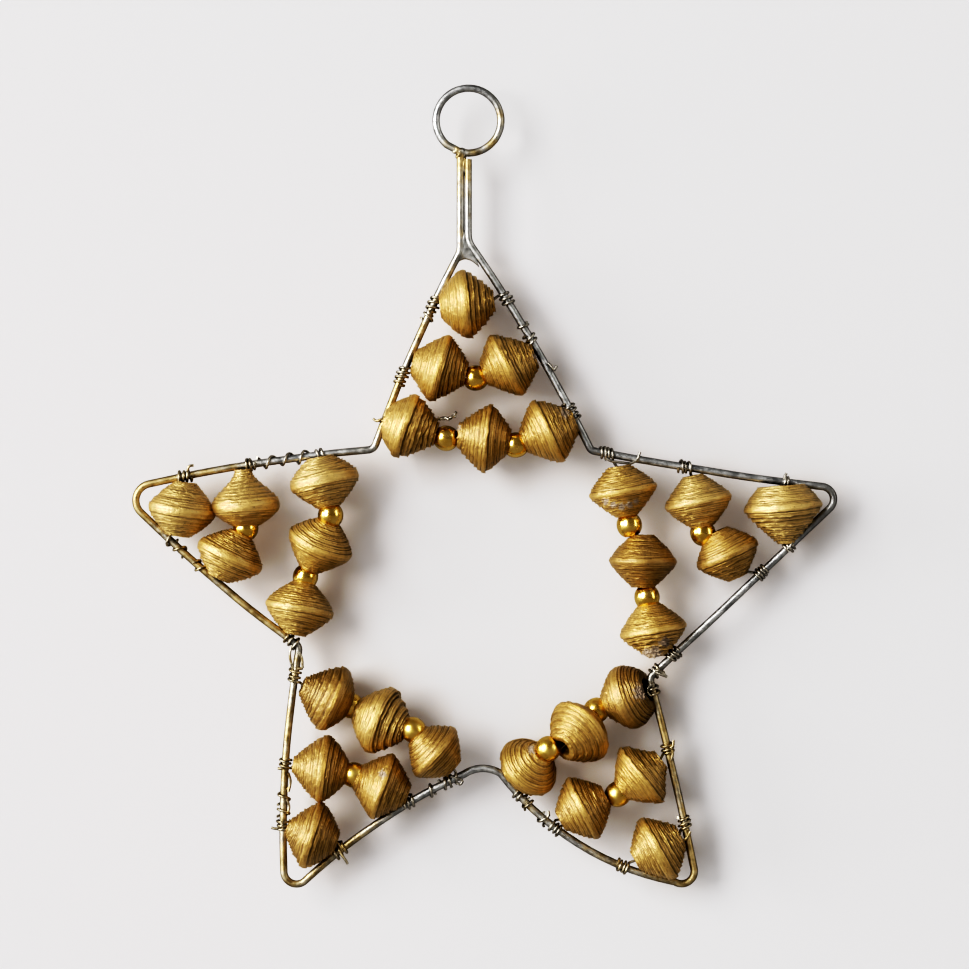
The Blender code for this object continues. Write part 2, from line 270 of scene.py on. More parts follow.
def paintedPaper():
    # gold paint brushed along rolled paper, thin on the edges; painted shade darkens the grooves
    # and a painted highlight lightens the crests of the paper layers
    paint = Recipe(bpy.data.materials.new("gold_painted_paper"))
    along = paint.attribute("strokePlace", "Vector")
    place = paint.place()
    lift = paint.attribute("lift")
    wear = paint.attribute("wear")
    coat = paint.attribute("coat")
    strokes = paint.patches((along, 1.0, 4.0, 0.6), 0.32, 0.68)
    fineStrokes = paint.patches((along, 2.6, 3.0, 0.6), 0.3, 0.7)
    bands = paint.patches((along, 0.36, 2.0, 0.5), 0.36, 0.64)
    clouds = paint.patches((place, 420.0, 4.0, 0.6, 0.4), 0.35, 0.65)
    mottle = paint.patches((place, 1500.0, 4.0, 0.65), 0.36, 0.64)
    grain = paint.noise(place, 5200.0, 2.0, 0.6)
    specks = paint.patches((place, 2600.0, 2.0, 0.5), 0.63, 0.72)
    choked = paint.patches((place, 480.0, 2.0, 0.5), 0.34, 0.6)
    bare = paint.spread(wear * 0.55 + paint.noise(place, 2300.0, 3.0, 0.65) * 0.8, 0.66, 0.84)
    # painted shade: the lower a point lies in its groove, the darker it is painted
    groove = ((1.0 - lift) * (0.55 + choked * 0.45) * (0.6 + strokes * 0.4)).clamped()
    # painted highlight: the crests of the paper layers are painted lighter
    crestHighlight = paint.spread(lift, 0.75, 1.0) * fineStrokes
    tone = paint.blend(strokes, colour(164, 122, 52), colour(236, 198, 118))
    tone = paint.glaze(
        tone, (clouds * 0.4, (184, 140, 58)), (bands * 0.35, (150, 110, 42)),
        (mottle * 0.4, (242, 206, 132)), (fineStrokes * 0.3, (238, 208, 138)),
        (crestHighlight * 0.5, (255, 222, 146)), (coat.clamped(), (255, 232, 176)),
        ((coat * -1.0).clamped(), (96, 62, 20)), (groove, (24, 8, 1)),
        (specks * 0.4, (84, 52, 18)), (bare, (196, 178, 158)))
    height = bands * 0.8 + strokes * 0.5 + fineStrokes * 0.3 + mottle * 0.45 + grain * 0.25
    return paint.principled({
        "Base Color": tone,
        "Metallic": (0.72 - bare * 0.7 - groove * 0.3).clamped(),
        "Roughness": (0.36 + clouds * 0.1 + groove * 0.25 + bare * 0.3 + grain * 0.06).clamped(),
        "Coat Weight": (1.0 - groove * 0.9 - bare * 0.8).clamped(),
        "Coat Roughness": 0.48,
        "Coat IOR": 1.6,
        "Normal": paint.bump(0.9, 0.09 * mm, height)})


def polishedGold():
    gold = Recipe(bpy.data.materials.new("polished_gold"))
    place = gold.place()
    satin = gold.attribute("satin")
    clouds = gold.patches((place, 700.0, 3.0, 0.55), 0.35, 0.65)
    dimples = gold.noise(place, 1500.0, 2.0, 0.5)
    pits = gold.patches((place, 4200.0, 2.0, 0.5), 0.68, 0.78)
    tone = gold.blend(clouds, colour(238, 200, 110), colour(252, 222, 144))
    tone = gold.glaze(tone, (pits * 0.6, (140, 90, 34)))
    return gold.principled({
        "Base Color": tone, "Metallic": 1.0,
        "Roughness": 0.17 + satin * 0.09 + clouds * 0.1 + pits * 0.3,
        "Normal": gold.bump(0.5, 0.03 * mm, dimples + pits * 0.3)})


def wireSteel(name, light, dark, gloss, outline):
    # drawn steel with die lines, handling marks and a brassy film where the paint brush caught it,
    # painted darker at listed places and painted in shade towards its edges
    steel = Recipe(bpy.data.materials.new(name))
    place = steel.place()
    gilt = steel.attribute("gilt")
    darkened = steel.attribute("darkened")
    clouds = steel.patches((place, 900.0, 4.0, 0.62), 0.36, 0.64)
    scuffs = steel.patches((place, 3600.0, 3.0, 0.6, 0.6), 0.54, 0.7)
    film = steel.spread(steel.noise(place, 520.0, 4.0, 0.65) + gilt, 0.72, 0.98)
    # painted shade: the wire is darkened towards its edges as seen, as strongly as outline says
    facing = steel.add("ShaderNodeLayerWeight", None, {"Blend": 0.5}, "Facing")
    brass = steel.blend(clouds, colour(156, 132, 80), colour(216, 192, 136))
    tone = steel.blend(clouds, colour(*dark), colour(*light))
    tone = steel.glaze(tone, ((gilt * 0.7).clamped(), (196, 182, 140)))
    tone = steel.blend(film * 0.8, tone, brass)
    # the listed places painted darker, in part painted shade between the stem's strands, and
    # painted shade at the edges
    tone = steel.glaze(
        tone, (darkened * (0.5 + clouds * 0.5), (66, 62, 56)), (scuffs * 0.35, (96, 90, 80)),
        (steel.spread(facing, 0.22, 0.6) * outline, (54, 45, 34)))
    return steel.principled({
        "Base Color": tone, "Metallic": (0.98 - scuffs * 0.25).clamped(),
        "Roughness": (gloss + clouds * 0.12 + scuffs * 0.25 + film * 0.06).clamped(),
        "Normal": steel.bump(0.6, 0.04 * mm, clouds * 0.5 + scuffs * -0.6)})


def palePlaster(name, reach):
    # the board behind and the floor, let through from behind so that the back can be seen; for the
    # camera they partly glow, which paints light into the shadows on them
    plaster = Recipe(bpy.data.materials.new(name))
    place = plaster.place()
    drift = plaster.patches((place, 9.0, 2.0, 0.5), 0.3, 0.7)
    bump = plaster.bump(0.05, 0.1 * mm, plaster.noise(place, 1400.0, 3.0, 0.6))
    tone = plaster.blend(drift, colour(237, 236, 237), colour(239, 236, 237))
    seen = plaster.add("ShaderNodeLightPath", output="Is Camera Ray")
    # painted shadow: close to the beads, on the side away from the window, the board loses its glow
    # and is tinted warm
    windowSide = plaster.add("ShaderNodeCombineXYZ", None, {"X": -0.72, "Y": -0.66, "Z": 0.2})
    openness = plaster.add("ShaderNodeAmbientOcclusion", {"samples": 5}, {
        "Distance": reach, "Normal": windowSide}, "AO")
    tone = plaster.glaze(tone, ((1.0 - openness) ** 2.0, (232, 200, 152)))
    seenTone = plaster.blend(seen, colour(172, 170, 168), tone)
    matt = plaster.add("ShaderNodeBsdfDiffuse", None, {"Color": seenTone, "Normal": bump})
    # painted light: a glow seen only by the camera
    glow = plaster.add("ShaderNodeEmission", None, {"Color": tone, "Strength": 0.96})
    matt = plaster.between(seen * 0.4 * openness ** 2.0, matt, glow)
    clear = plaster.add("ShaderNodeBsdfTransparent")
    behind = plaster.add("ShaderNodeNewGeometry", output="Backfacing")
    shadow = plaster.add("ShaderNodeLightPath", output="Is Shadow Ray")
    return plaster.finish(plaster.between(behind.math("MAXIMUM", behind, shadow), matt, clear))


paintedPaperFinish = paintedPaper()
polishedGoldFinish = polishedGold()
# the last number: how strongly the wire's edges are painted in shade
frameSteelFinish = wireSteel("steel_frame_wire", (224, 224, 223), (168, 169, 169), 0.33, 0.7)
bindingSteelFinish = wireSteel(
    "steel_binding_wire", (216, 211, 200), (148, 143, 134), 0.26, 0.45)
paleBoardFinish = palePlaster("pale_board", 8.0 * mm)
paleFloorFinish = palePlaster("pale_floor", 0.1 * mm)
print("finishes mixed")


# paper beads

paperRoll = dict(
    around=96,
    layers=14,   # paper layers seen on each half
    strip=(0.75, 0.9),   # a layer's least share of the half, and what chance adds
    leastStrip=0.012,
    lean=(0.03, 0.012),  # how an edge leans at first, and more with each layer
    swing=0.007,     # how far an edge wavers, at each of the turns
    swingTurns=(2, 3, 5, 9),
    tornShare=0.05,  # how much of an edge is torn
    tear=0.10,       # how deep, mm
    faintFray=0.010,
    boldFray=(0.016, 0.034),     # mm, and what the stairs add
    lip=0.14,        # the rounded share of a layer at its edge
    level=0.75,      # how level the step behind an edge lies, 0 along the cone
    undercut=(0.02, 0.06),       # mm, and more at a bold edge
    belly=(0.012, 0.008),        # how far out of round
    crownSway=(0.08, 0.05),      # mm
    wornDents=0.022,
)

fullTurn = 6.3      # radians, for waves begun at random

# how far out of the groove the parts of a layer are, at a faint edge and at a bold one; the lower,
# the darker the painted shade
faintLift = {"foot": 0.62, "middle": 0.9, "lip": 1.0, "drop": 0.8}
boldLift = {"foot": 0.0, "middle": 0.55, "lip": 1.0, "drop": 0.25}

# the bore from its face inwards: depth in mm, radius against the bore's, and lift, which paints the
# bore darker inwards as shade
boreSteps = {"face0": (-0.03, 0.17, 0.6), "bore0": (0.08, 0.0, 0.3),
             "bore1": (0.5, -0.03, 0.1), "bore2": (1.6, -0.1, 0.0)}

# what a bead has where its own entry doesn't say
usualBead = dict(
    crown=9.9,          # across the middle, mm
    length=7.4,
    neck=(0, 0),        # how far each half draws in like a bell
    crownAt=0,          # the crown's shift along the axis, mm
    lean=0,             # how much more on the side away from the star
    wall=0.42,          # paper left round the bore at an end, mm
    turned=0,           # degrees that the last end leans to the viewer
    tilted=0,           # degrees turned against the clock
    paint=0,            # thicker and paler above 0, thinner and browner below
    worn=())            # x, z and reach of each bare place, mm

# at: x and z from the part's bead, mm; first and last: the half of the bead that comes first
# clockwise and the other one, by the radius of its end in mm, how many paper edges are bold on
# it, how far they stand out, and its fullness, where 1 is a straight cone
paperBeads = {
    "top_1": dict(
        at=(-0.37, -0.04), first=(1.5, 3, 0.3, 1.55), last=(1.4, 6, 1.0, 1.3), length=7.7,
        crownAt=-0.15, lean=0.05, paint=-0.07),
    "top_2a": dict(
        at=(-0.35, 0.0), first=(1.6, 4, 0.35, 1.22), last=(1.6, 7, 0.8, 1.22), length=7.8, lean=0.4,
        paint=-0.1, worn=[(-0.2, -36.4, 0.5)]),
    "top_2b": dict(
        at=(0.3, 0.04), first=(1.6, 5, 0.4, 1.22), last=(1.7, 6, 0.6, 1.22), crown=9.7, length=7.8,
        crownAt=-0.4, lean=-0.8, paint=-0.07, worn=[(9.4, -33.5, 0.5)]),
    "top_3a": dict(
        at=(-0.81, 0.17), first=(1.7, 2, 0.3, 1.45), last=(1.6, 6, 1.0, 1.3), crown=9.6, length=7.7,
        crownAt=-0.7, lean=0.4, paint=0.06),
    "top_3b": dict(
        at=(0.33, 0.38), first=(1.6, 7, 0.8, 1.2), last=(1.6, 6, 0.6, 1.25), crown=9.8,
        crownAt=0.45, lean=-0.1, paint=-0.13, worn=[(-1.4, -43.6, 0.6)]),
    "top_3c": dict(
        at=(0.47, 0.06), first=(1.6, 6, 0.5, 1.22), last=(1.6, 6, 0.6, 1.22), crown=9.8, length=7.9,
        crownAt=-0.2, lean=-0.3, paint=-0.03, worn=[(13.6, -41.6, 1.0)]),
    "right_1": dict(
        at=(0.55, -0.38), first=(3.3, 6, 0.4, 1.3), last=(1.1, 9, 0.7, 1.15), crown=11.2,
        length=8.2, crownAt=-1.0, paint=0.29),
    "right_2a": dict(
        at=(-0.09, -0.06), first=(1.4, 8, 0.45, 1.2), last=(1.6, 5, 0.4, 1.35), crown=9.8,
        paint=0.25),
    "right_2b": dict(
        at=(-0.2, 0.4), first=(1.6, 6, 0.4, 1.35), last=(1.4, 7, 0.5, 1.3), crown=9.3, length=7.2,
        tilted=-20, paint=-0.16),
    "right_3a": dict(
        at=(-0.27, 0.41), first=(1.6, 9, 0.7, 1.35), last=(1.6, 5, 0.4, 1.2), length=7.1, tilted=-4,
        paint=0.07, worn=[(19.3, -54.0, 0.7), (20.4, -54.5, 0.7), (21.5, -54.7, 0.7),
        (22.6, -54.5, 0.7), (23.6, -54.0, 0.6)]),
    "right_3b": dict(
        at=(0.5, -0.03), first=(1.6, 4, 0.25, 1.3), last=(1.6, 4, 0.3, 1.3), crown=9.8, tilted=-12,
        paint=-0.37),
    "right_3c": dict(
        at=(0.0, -0.33), first=(1.6, 5, 0.35, 1.3), last=(1.3, 8, 0.8, 1.25), crown=9.8, paint=0.07,
        worn=[(26.4, -75.3, 1.5), (27.6, -73.8, 1.1), (25.2, -75.4, 1.0)]),
    "bottom_right_1": dict(
        at=(0.62, -0.64), first=(1.6, 8, 0.8, 1.25), last=(1.4, 9, 0.7, 1.4), paint=0.11),
    "bottom_right_2a": dict(
        at=(-0.04, -0.23), first=(1.5, 7, 0.6, 1.25), last=(1.6, 3, 0.25, 1.2), length=7.2,
        neck=(0.6, 0.0), paint=0.02),
    "bottom_right_2b": dict(
        at=(-0.45, 0.2), first=(1.6, 8, 0.5, 1.3), last=(1.5, 8, 0.6, 1.3), crown=9.8, paint=-0.14),
    "bottom_right_3a": dict(
        at=(0.17, 0.26), first=(2.8, 6, 0.7, 1.8), last=(1.6, 5, 0.7, 1.3), crown=9.4, length=6.8,
        wall=1.2, turned=-14, tilted=9, paint=-0.3, worn=[(24.3, -80.9, 1.5)]),
    "bottom_right_3b": dict(
        at=(0.57, -0.99), first=(1.6, 6, 0.6, 1.35), last=(1.95, 4, 0.4, 1.3), crown=10.0,
        length=7.1, crownAt=-0.6, wall=0.75, turned=17, paint=-0.09),
    "bottom_right_3c": dict(
        at=(-0.71, -0.26), first=(1.5, 4, 0.4, 1.35), last=(1.4, 7, 0.8, 1.35), crown=9.3,
        length=7.1, turned=-5, paint=-0.02, worn=[(9.0, -89.0, 0.9)]),
    "bottom_left_1": dict(
        at=(-0.3, -0.57), first=(1.5, 8, 0.5, 1.45), last=(1.0, 9, 0.7, 1.25), crown=9.8,
        paint=-0.22),
    "bottom_left_2a": dict(
        at=(-0.06, -0.44), first=(1.5, 7, 0.6, 1.25), last=(1.6, 4, 0.25, 1.15), length=7.8,
        paint=-0.15, worn=[(-12.0, -92.2, 0.8)]),
    "bottom_left_2b": dict(
        at=(0.16, -0.13), first=(1.6, 8, 0.5, 1.55), last=(1.0, 9, 0.6, 1.35), crown=9.6,
        length=7.7, crownAt=-0.5, paint=-0.2),
    "bottom_left_3a": dict(
        at=(-0.35, 0.18), first=(1.5, 7, 0.5, 1.3), last=(1.6, 7, 0.6, 1.25), crown=9.0, length=7.1,
        paint=-0.15),
    "bottom_left_3b": dict(
        at=(-0.27, -0.11), first=(1.6, 6, 0.95, 1.25), last=(1.6, 8, 0.6, 1.3), length=7.8,
        paint=0.15),
    "bottom_left_3c": dict(
        at=(0.33, -0.09), first=(1.6, 7, 0.4, 1.7), last=(1.3, 8, 0.8, 1.3), crown=9.6,
        crownAt=-0.9, paint=-0.31),
    "left_1": dict(
        at=(-0.45, 0.07), first=(1.6, 9, 0.4, 1.6), last=(1.5, 8, 0.35, 1.3), crown=9.7, length=7.7,
        paint=0.26),
    "left_2a": dict(
        at=(-0.64, 0.06), first=(1.5, 7, 0.8, 1.45), last=(1.6, 8, 0.5, 1.4), length=7.1,
        paint=0.11),
    "left_2b": dict(
        at=(-0.1, -0.24), first=(1.6, 6, 0.3, 1.85), last=(1.2, 7, 0.4, 1.4), crown=9.6, length=8.1,
        neck=(0.0, 1.0), crownAt=-1.1, paint=0.23),
    "left_3a": dict(
        at=(-0.21, -0.34), first=(1.4, 8, 0.5, 1.35), last=(1.6, 8, 0.4, 1.5), length=7.5,
        paint=0.18),
    "left_3b": dict(
        at=(-0.01, -0.03), first=(1.6, 7, 0.4, 1.4), last=(1.6, 8, 0.5, 1.35), crown=9.7,
        crownAt=0.4, paint=0.1),
    "left_3c": dict(
        at=(-0.27, 0.33), first=(1.6, 6, 0.5, 1.3), last=(1.8, 8, 0.7, 1.8), length=7.1, paint=0.3),
}


def rollRows(layers):
    # the rings of a bead in turn: inside the bore, the first half, the crown, the last half
    parts = ["foot", "middle", "lip", "drop"]
    inside = [("face", 0), ("bore", 0), ("bore", 1), ("bore", 2)]
    rows = [("core", 0, 0)] + [(part, 0, layer) for part, layer in reversed(inside)]
    for layer in reversed(range(layers)):
        rows += [(part, 0, layer) for part in reversed(parts)]
    for layer in range(layers):
        rows += [(part, 1, layer) for part in (parts if layer else parts[1:])]
    return rows + [(part, 1, layer) for part, layer in inside]


def layEdges(angles, bold, fullness, rng, wobble):
    # where each paper edge runs along one half, how bold it is and how it is frayed
    layers = paperRoll["layers"]
    grid = (layers + 1, len(angles))
    least, chance = paperRoll["strip"]
    firstLean, moreLean = paperRoll["lean"]
    widths = least + rng.random(layers) * chance * wobble
    share = np.concatenate([[0], np.cumsum(widths)]) / widths.sum()
    edges = (share ** (1 / fullness))[:, None] * np.ones(len(angles))
    lean = rng.normal(0, firstLean, 2) * wobble
    window = np.sin(np.clip(share, 0, 1) * pi)
    for index in range(1, layers):
        lean = lean + rng.normal(0, moreLean, 2) * wobble
        swing = lean[0] * np.cos(angles) + lean[1] * np.sin(angles)
        for turn in paperRoll["swingTurns"]:
            reach = rng.normal(0, paperRoll["swing"]) * wobble
            swing += reach * np.cos(turn * angles + rng.uniform(0, fullTurn))
        edges[index] += swing * window[index]
    for index in range(1, layers + 1):
        edges[index] = np.maximum(edges[index], edges[index - 1] + paperRoll["leastStrip"])
    edges = np.minimum(edges, 1)
    spots = (np.arange(bold) + 0.5 + rng.uniform(-0.3, 0.3, bold)) * (layers - 1) / bold + 0.5
    boldEdges = sorted(set(np.clip(np.round(spots).astype(int), 1, layers - 1)) | {layers})
    fray = rng.normal(0, 1, grid)
    fray = (fray + np.roll(fray, 1, 1) * 0.6 + np.roll(fray, -1, 1) * 0.6) * wobble
    torn = (rng.random(grid) < paperRoll["tornShare"]) * rng.random(grid)
    torn = (torn + np.roll(torn, 1, 1) * 0.8 + np.roll(torn, 2, 1) * 0.4) * wobble
    return edges, boldEdges, fray, torn


def rollShape(rows, bead, outside, wobble, seed):
    # radius, height and how far out of the groove each point is, for every ring and angle, in mm
    rng = np.random.default_rng(seed)
    around = paperRoll["around"]
    angles = np.arange(around) * 2 * pi / around
    length = bead["length"]
    ends, boldCounts, stairs, fullness = zip(bead["first"], bead["last"])
    laid = [layEdges(angles, boldCounts[side], fullness[side], rng, wobble) for side in (0, 1)]

    def sway(sizes, firstTurns):
        # a slow wave and a wave three times round, each begun at random
        slow = sizes[0] * np.cos(firstTurns * angles + rng.uniform(0, fullTurn))
        return wobble * (slow + sizes[1] * np.cos(3 * angles + rng.uniform(0, fullTurn)))

    belly = 1 + sway(paperRoll["belly"], 2)
    crownShift = sway(paperRoll["crownSway"], 1) + bead["crownAt"]
    crownShift += bead["lean"] * np.cos(angles - outside)

    def smoothRadius(share, side):
        cone = 1 - np.abs(share) ** fullness[side]
        bell = 0.5 + 0.5 * np.cos(pi * share)
        drawn = cone + (bell - cone) * bead["neck"][side]
        return ends[side] + (bead["crown"] / 2 - ends[side]) * drawn

    radii = np.zeros((len(rows), around))
    heights = np.zeros((len(rows), around))
    lifts = np.ones((len(rows), around))
    for index, (part, side, layer) in enumerate(rows):
        if part == "core":
            radii[index] = (ends[0] + ends[1]) / 2 - usualBead["wall"] - 0.1
            lifts[index] = 0
            continue
        half = (-1, 1)[side]
        stair = stairs[side]
        edges, boldEdges, fray, torn = laid[side]
        if part in ("bore", "face"):
            depth, radius, lifts[index] = boreSteps[part + str(layer)]
            radii[index] = ends[side] - bead["wall"] + radius + fray[-1] * 0.012
            heights[index] = half * (length / 2 - depth) + fray[-1] * 0.015
            continue
        before = max([edge for edge in boldEdges if edge <= layer], default=0)
        after = min(edge for edge in boldEdges if edge > layer)
        begin, stop = edges[layer], edges[layer + 1]
        share = {"foot": begin, "middle": (begin + stop) / 2,
                 "lip": stop - (stop - begin) * paperRoll["lip"], "drop": stop}[part]
        middle = (edges[before] + edges[after]) / 2 if before else edges[after] * 0.35
        slant = smoothRadius(share, side)
        level = paperRoll["level"]
        tread = smoothRadius(middle, side) * level + slant * (1 - level)
        boldLip = after == layer + 1
        boldFoot = before == layer and layer > 0
        strength = stair * (0.45 if part == "drop" and boldLip else 0.85)
        radii[index] = slant + strength * (tread - slant)
        if part in ("lip", "drop"):
            least, more = paperRoll["boldFray"]
            size = least + more * stair if boldLip else paperRoll["faintFray"]
            radii[index] += fray[layer + 1] * size
            if boldLip:
                radii[index] -= torn[layer + 1] * paperRoll["tear"] * (0.3 + stair)
            share = share + fray[layer + 1] * 0.005
        if part == "foot" and layer:
            faintCut, boldCut = paperRoll["undercut"]
            radii[index] -= faintCut + (boldCut * stair if boldFoot else 0)
        heights[index] = half * share * length / 2
        bold = boldFoot if part in ("foot", "middle") else boldLip
        deeper = (boldLift[part] - faintLift[part]) * min(1, 0.15 + stair)
        lifts[index] = faintLift[part] + (deeper if bold else 0)
        if layer == 0 and part == "foot":
            lifts[index] = 1
        radii[index] *= belly
        heights[index] += crownShift * (1 - share)
    return radii, heights, lifts


def beadAxis(name):
    # where a bead of the part is, moved as the photograph shows, and its axis, clockwise
    points = meshPoints(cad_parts[name].data)
    sizes, directions = np.linalg.eigh(np.cov((points - points.mean(0)).T))
    odd = 0 if sizes[1] - sizes[0] > sizes[2] - sizes[1] else 2
    axis = Vector(directions[:, odd])
    middle = Vector(points.mean(0))
    away = middle - starMiddle
    if axis.dot(Vector((away.z, 0, -away.x))) < 0:
        axis.negate()
    kind, place = name.split("_bead_")
    moved = paperBeads[place]["at"] if kind == "paper" else goldBeads[place]
    return middle + flat(moved), axis


# how far each gold bead lies from the part's, x and z in mm
goldBeads = {
    "top_2": (0.1, -0.35), "top_3a": (-0.3, -0.2), "top_3b": (0.1, -0.05),
    "right_2": (-0.35, 0.0), "right_3a": (-0.45, 0.3), "right_3b": (0.05, -0.35),
    "bottom_right_2": (0.4, 0.0), "bottom_right_3a": (0.1, -0.5), "bottom_right_3b": (-0.5, -0.4),
    "bottom_left_2": (0.35, -0.4), "bottom_left_3a": (0.1, 0.2), "bottom_left_3b": (-0.45, 0.3),
    "left_2": (-0.35, 0.0), "left_3a": (-0.15, -0.4), "left_3b": (-0.3, 0.05),
}


def filmAt(points, spots):
    # how strong a film or a bare place is at each point, from its spots
    film = np.zeros(len(points))
    for x, z, reach, strength in spots:
        away = np.hypot(points[:, 0] / mm - x, points[:, 2] / mm - z) / reach
        film = np.maximum(film, strength * np.exp(-away ** 2))
    return film


# how the brush marks lie against a bead, and how they differ from bead to bead
brushing = {"stretch": (0.35, 0.35, 5.0), "shift": (7.3, 3.1, 5.7)}


def rollPaperBeads():
    # one even blank is turned, and each bead is a copy with its points moved to its own shape
    rows = rollRows(paperRoll["layers"])
    around = paperRoll["around"]
    half = (1.75, 13, 0.8, 1.22)
    even = usualBead | dict(first=half, last=half, crown=9.7, length=7.0)
    radii, heights, lifts = rollShape(rows, even, 0, 0.0, 0)
    rings = [(float(radius), float(height)) for radius, height in zip(radii[:, 0], heights[:, 0])]
    blank = turnRings("paper bead blank", around, rings)
    points = meshPoints(blank.data) / mm
    radial = np.hypot(points[:, 0], points[:, 1])
    gaps = (radial[:, None] - np.array(rings)[None, :, 0]) ** 2
    gaps += (points[:, 2][:, None] - np.array(rings)[None, :, 1]) ** 2
    ring = gaps.argmin(1)
    spoke = np.arctan2(points[:, 1], points[:, 0]) / (2 * pi) * around
    spoke = np.round(spoke).astype(int) % around
    angles = spoke * 2 * pi / around
    for number, name in enumerate(paperBeads):
        bead = usualBead | paperBeads[name]
        middle, axis = beadAxis("paper_bead_" + name)
        axis.rotate(Quaternion(axis.cross(front), radians(bead["turned"])))
        axis.rotate(Quaternion(front, radians(bead["tilted"])))
        turn = np.array(axis.to_track_quat("Z", "Y").to_matrix())
        away = turn.T @ np.array(middle - starMiddle)
        outside = float(np.arctan2(away[1], away[0]))
        radii, heights, lifts = rollShape(rows, bead, outside, 1.0, 40 + number)
        across = radii[ring, spoke][:, None] * np.stack([np.cos(angles), np.sin(angles)], 1)
        local = np.column_stack([across, heights[ring, spoke]])
        world = (local * mm) @ turn.T + np.array(middle)
        wear = filmAt(world, [(*spot, 1) for spot in bead["worn"]]) * (world[:, 1] < 0)
        rng = np.random.default_rng(900 + number)
        dents = wear * rng.normal(0, paperRoll["wornDents"], len(wear))
        world += (world - np.array(middle)) * dents[:, None]
        piece = copyBlank(blank, "paperBead_" + name, world)
        strokes = local * np.array(brushing["stretch"]) + number * np.array(brushing["shift"])
        store(piece, "strokePlace", strokes)
        store(piece, "lift", lifts[ring, spoke])
        store(piece, "wear", wear)
        store(piece, "coat", np.full(len(wear), bead["paint"]))
        dress(piece, "paper_bead_" + name, paintedPaperFinish)
    bpy.data.objects.remove(blank, do_unlink=True)


rollPaperBeads()
print("paper beads rolled")


# gold beads

# sizes in mm; opening: the angle at which the ball is cut off for its hole
goldBall = {"around": 40, "radius": 1.8, "bore": 0.5, "rings": 22, "barrel": 0.86, "opening": 62}


def turnGoldBeads():
    rings = []
    steps, bore, opening = goldBall["rings"], goldBall["bore"], goldBall["opening"]
    for step in range(steps + 1):
        angle = radians(-opening + 2 * opening * step / steps)
        rings.append((goldBall["radius"] * cos(angle) ** goldBall["barrel"],
                      goldBall["radius"] * sin(angle)))
    top = rings[-1][1]
    inner = [(bore + 0.22, top + 0.04), (bore + 0.06, top), (bore, top - 0.12), (bore, 0)]
    rings += inner + [(radius, -height) for radius, height in reversed(inner[:-1])]
    half = len(rings) - 4
    rings = rings[half:] + rings[:half]
    blank = turnRings("gold bead blank", goldBall["around"], rings)
    points = meshPoints(blank.data)
    for name in goldBeads:
        middle, axis = beadAxis("gold_bead_" + name)
        turn = np.array(axis.to_track_quat("Z", "Y").to_matrix())
        piece = copyBlank(blank, "goldBead_" + name, points @ turn.T + np.array(middle))
        satin = 1.0 if name.startswith("bottom") else 0.0
        store(piece, "satin", np.full(len(points), satin))
        dress(piece, "gold_bead_" + name, polishedGoldFinish)
    bpy.data.objects.remove(blank, do_unlink=True)


turnGoldBeads()
print("gold beads turned")


# the bent wire of the star

# places are x and z, and all sizes are in mm
frameWire = dict(
    thickness=1.06,
    roundness=4,
    cutEnd=(-0.05, -5.5),
    rightShoulder=(-0.05, -17.0),
    corners=[(17.427, -46.799), (53.886, -52.464), (25.69, -78.969), (32.956, -110.234),
             (1.952, -90.952), (-26.42, -109.989), (-24.034, -74.576), (-50.33, -52.282),
             (-13.457, -46.588)],
    leftShoulder=(-1.15, -18.4),
    ringFoot=(-1.15, -4.45),
    ringRadius=4.6,
    ringAngles=(222, 547),
    shoulderBend=3.0,
    bends=[0.9, 1.8, 1.1, 1.8, 4.7, 1.8, 1.2, 2.4, 1.3],
    footBend=0.7,
    bows=[0.6, -0.3, 0.0, 0.2, 2.7, -1.1, 0.8, 0.5, 0.5, 0.5],
    bowPoints=14,
    ringPoints=48,
    bendStep=8,          # degrees
    wander=0.12,         # how far hand bending left a side off its line, in the star's plane
    lift=0.2,            # and to the front or back
    ripple=300,          # waves in a metre
)


def roundCorner(before, corner, after, radius):
    arriving = (corner - before).normalized()
    leaving = (after - corner).normalized()
    turn = arriving.angle(leaving)
    start = corner - arriving * (radius * tan(turn / 2))
    inward = (leaving - arriving * leaving.dot(arriving)).normalized()
    middle = start + inward * radius
    steps = max(4, ceil(turn / radians(frameWire["bendStep"])))
    arc = []
    for step in range(steps + 1):
        angle = turn * step / steps
        arc.append(middle + (arriving * sin(angle) - inward * cos(angle)) * radius)
    return arc


def bowSide(start, end, bow):
    along = end - start
    outward = Vector((-along.z, 0, along.x)).normalized()
    seed = start * frameWire["ripple"]
    points = []
    for step in range(1, frameWire["bowPoints"]):
        share = step / frameWire["bowPoints"]
        swell = sin(share * pi) * mm
        wander = noise.noise(seed + Vector((share * 3, 0, 0))) * frameWire["wander"] * swell
        lift = noise.noise(seed + Vector((share * 2, 9, 0))) * frameWire["lift"] * swell
        place = start + along * share + outward * (bow * mm * 4 * share * (1 - share) + wander)
        points.append(place + front * lift)
    return points


def routeWire():
    # the wire from its cut end to the ring, and the ten sides of the star
    ring = []
    firstAngle, lastAngle = frameWire["ringAngles"]
    steps = frameWire["ringPoints"]
    for step in range(steps + 1):
        angle = radians(firstAngle + (lastAngle - firstAngle) * step / steps)
        ring.append(Vector((sin(angle), 0, cos(angle))) * frameWire["ringRadius"] * mm)
    turning = [frameWire["cutEnd"], frameWire["rightShoulder"], *frameWire["corners"],
               frameWire["leftShoulder"], frameWire["ringFoot"]]
    turning = [flat(place) for place in turning] + [ring[0]]
    radii = [frameWire["shoulderBend"], *frameWire["bends"], frameWire["shoulderBend"],
             frameWire["footBend"]]
    bends = [roundCorner(before, corner, after, radius * mm)
             for before, corner, after, radius in zip(turning, turning[1:], turning[2:], radii)]
    route = [turning[0]]
    sides = []
    for bow, thisBend, nextBend in zip(frameWire["bows"], bends, bends[1:]):
        between = bowSide(thisBend[-1], nextBend[0], bow)
        route += thisBend + between
        sides.append(thisBend + between + nextBend)
    return route + bends[-2] + bends[-1] + ring, sides


frameRoute, starSides = routeWire()
